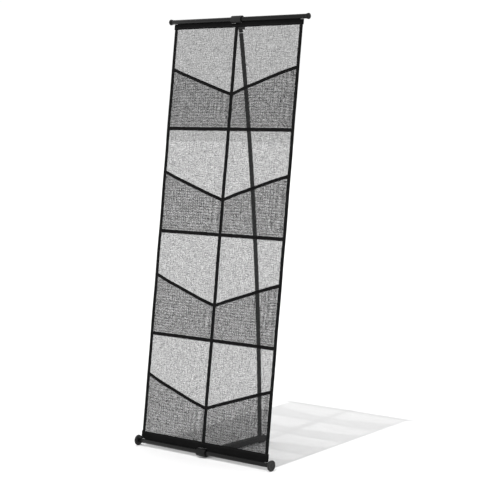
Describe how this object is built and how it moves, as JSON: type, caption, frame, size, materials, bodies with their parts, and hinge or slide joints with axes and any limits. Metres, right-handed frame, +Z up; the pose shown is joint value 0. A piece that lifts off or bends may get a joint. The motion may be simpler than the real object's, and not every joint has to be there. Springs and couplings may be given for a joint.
{
  "type": "folding mesh magazine rack",
  "caption": "Portable magazine rack: a leaning mesh banner with two columns of V-mouthed pockets between two tubes, propped by a bowed pole on a foot bar.",
  "frame": {"origin": "middle of the footprint on the floor", "axes": "+X across the rack, to the right as seen from the pockets; +Y towards the back, along the foot bar; +Z up"},
  "size_m": [0.544, 0.3122, 1.3218],
  "materials": {
    "black_tube": "black coated tube with a soft gloss",
    "foot_paint": "satin black powder coat",
    "pole_paint": "dark grey satin coat",
    "black_plastic": "moulded black plastic",
    "disc_plastic": "moulded dark grey plastic, lightly grained",
    "keder_plastic": "extruded off-white rod",
    "ferrule_metal": "plain drawn",
    "bright_ring": "polished",
    "screw_steel": "blackened",
    "pad_rubber": "moulded",
    "cord_cover": "braided",
    "back_mesh": "open black mesh",
    "pocket_mesh": "open black mesh",
    "binding_tape": "woven black binding tape",
    "hem_cloth": "woven black cloth"
  },
  "bodies": {
    "stand": {"foot_bar": "foot_paint", "foot_ring": "black_plastic", "foot_screws": "screw_steel", "foot_end_cap": "black_plastic", "foot_pad": "pad_rubber", "pole_socket": "black_plastic", "pole_lower": "pole_paint", "pole_middle": "pole_paint", "pole_upper": "pole_paint", "lower_ferrule": "ferrule_metal", "upper_ferrule": "ferrule_metal", "shock_cord": "cord_cover", "cord_stops": "black_plastic", "pole_tip_ring": "bright_ring", "pole_nose": "black_plastic"},
    "top_collar": {"top_collar": "black_plastic"},
    "banner": {"bottom_tube": "black_tube", "bottom_disc_left": "disc_plastic", "bottom_disc_right": "disc_plastic", "bottom_keder": "keder_plastic", "top_tube": "black_tube", "top_cap_left": "black_plastic", "top_cap_right": "black_plastic", "top_keder": "keder_plastic", "back_mesh": "back_mesh", "bottom_hem_band": "hem_cloth", "top_hem_band": "hem_cloth", "side_tape_left": "binding_tape", "side_tape_right": "binding_tape", "centre_tape": "binding_tape", "seam_tape_1": "binding_tape", "seam_tape_2": "binding_tape", "seam_tape_3": "binding_tape", "pocket_1_left": "pocket_mesh", "pocket_1_right": "pocket_mesh", "pocket_2_left": "pocket_mesh", "pocket_2_right": "pocket_mesh", "pocket_3_left": "pocket_mesh", "pocket_3_right": "pocket_mesh", "pocket_4_left": "pocket_mesh", "pocket_4_right": "pocket_mesh", "lip_tape_1": "binding_tape", "lip_tape_2": "binding_tape", "lip_tape_3": "binding_tape", "lip_tape_4": "binding_tape"}
  },
  "joints": [
    {"name": "banner_swing", "type": "hinge", "parent": "stand", "child": "banner", "pos_m": [0, -0.13987, 0.01625], "axis": [1, 0, 0], "range_deg": [0, 97]},
    {"name": "top_collar_turn", "type": "hinge", "parent": "banner", "child": "top_collar", "pos_m": [0, 0.02481, 1.31082], "axis": [1, 0, 0], "range_deg": [0, 60]}
  ]
}
